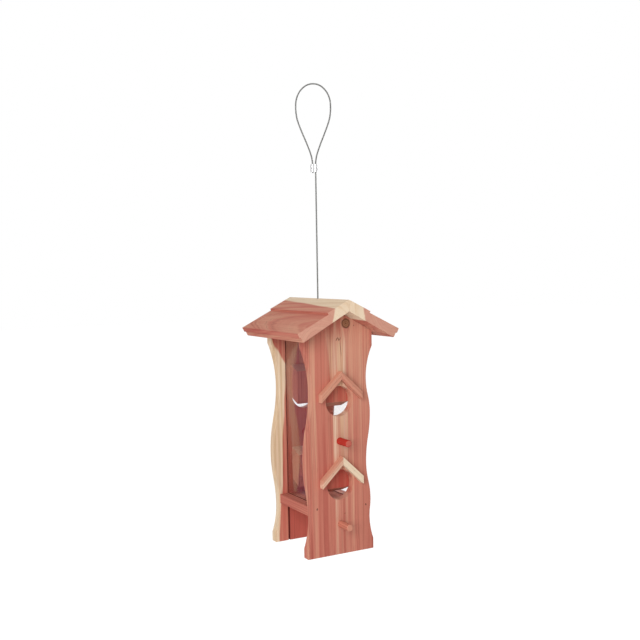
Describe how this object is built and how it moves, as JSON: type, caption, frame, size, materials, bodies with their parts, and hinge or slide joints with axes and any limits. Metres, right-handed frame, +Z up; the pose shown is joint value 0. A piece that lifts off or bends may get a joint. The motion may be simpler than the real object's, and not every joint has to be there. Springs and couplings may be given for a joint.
{
  "type": "bird feeder",
  "caption": "Hanging cedar bird feeder with wavy end panels, gabled feeding holes over perches, clear side panes, and a lapped gable roof that slides up the hanging cable for filling.",
  "frame": {"origin": "top of the inside of the hanging loop, where a hook carries it, plumb over the feeder's middle", "axes": "+Z up along the cable; -Y out of the front panel; +X to the right when facing the front panel"},
  "size_m": [0.2042, 0.222, 0.8434],
  "materials": {
    "cedar_panel": "planed, unfinished",
    "cedar_trim": "planed, unfinished",
    "cedar_peg": "turned, unfinished",
    "cedar_inner": "planed, unfinished",
    "cedar_roof": "milled, unfinished",
    "clear_acrylic": "clear, polished",
    "cable_steel": "stranded",
    "ferrule_aluminium": "satin, crimped"
  },
  "bodies": {
    "feeder": {"baffle_front_lower": "cedar_inner", "baffle_front_upper": "cedar_inner", "baffle_rear_lower": "cedar_inner", "baffle_rear_upper": "cedar_inner", "floor_board": "cedar_inner", "front_panel": "cedar_panel", "gable_front_lower_left": "cedar_trim", "gable_front_lower_right": "cedar_trim", "gable_front_upper_left": "cedar_trim", "gable_front_upper_right": "cedar_trim", "gable_rear_lower_left": "cedar_trim", "gable_rear_lower_right": "cedar_trim", "gable_rear_upper_left": "cedar_trim", "gable_rear_upper_right": "cedar_trim", "hanger_cable": "cable_steel", "hanger_rod": "cedar_inner", "loop_ferrule": "ferrule_aluminium", "pane_left": "clear_acrylic", "pane_right": "clear_acrylic", "perch_front_lower": "cedar_peg", "perch_front_upper": "cedar_peg", "perch_rear_lower": "cedar_peg", "perch_rear_upper": "cedar_peg", "rear_panel": "cedar_panel", "stop_ferrule": "ferrule_aluminium"},
    "roof": {"roof_board_left": "cedar_roof", "roof_board_right": "cedar_roof"}
  },
  "joints": [
    {"name": "roof_lift", "type": "slide", "parent": "feeder", "child": "roof", "axis": [0, 0, 1], "range_m": [0, 0.22]}
  ]
}
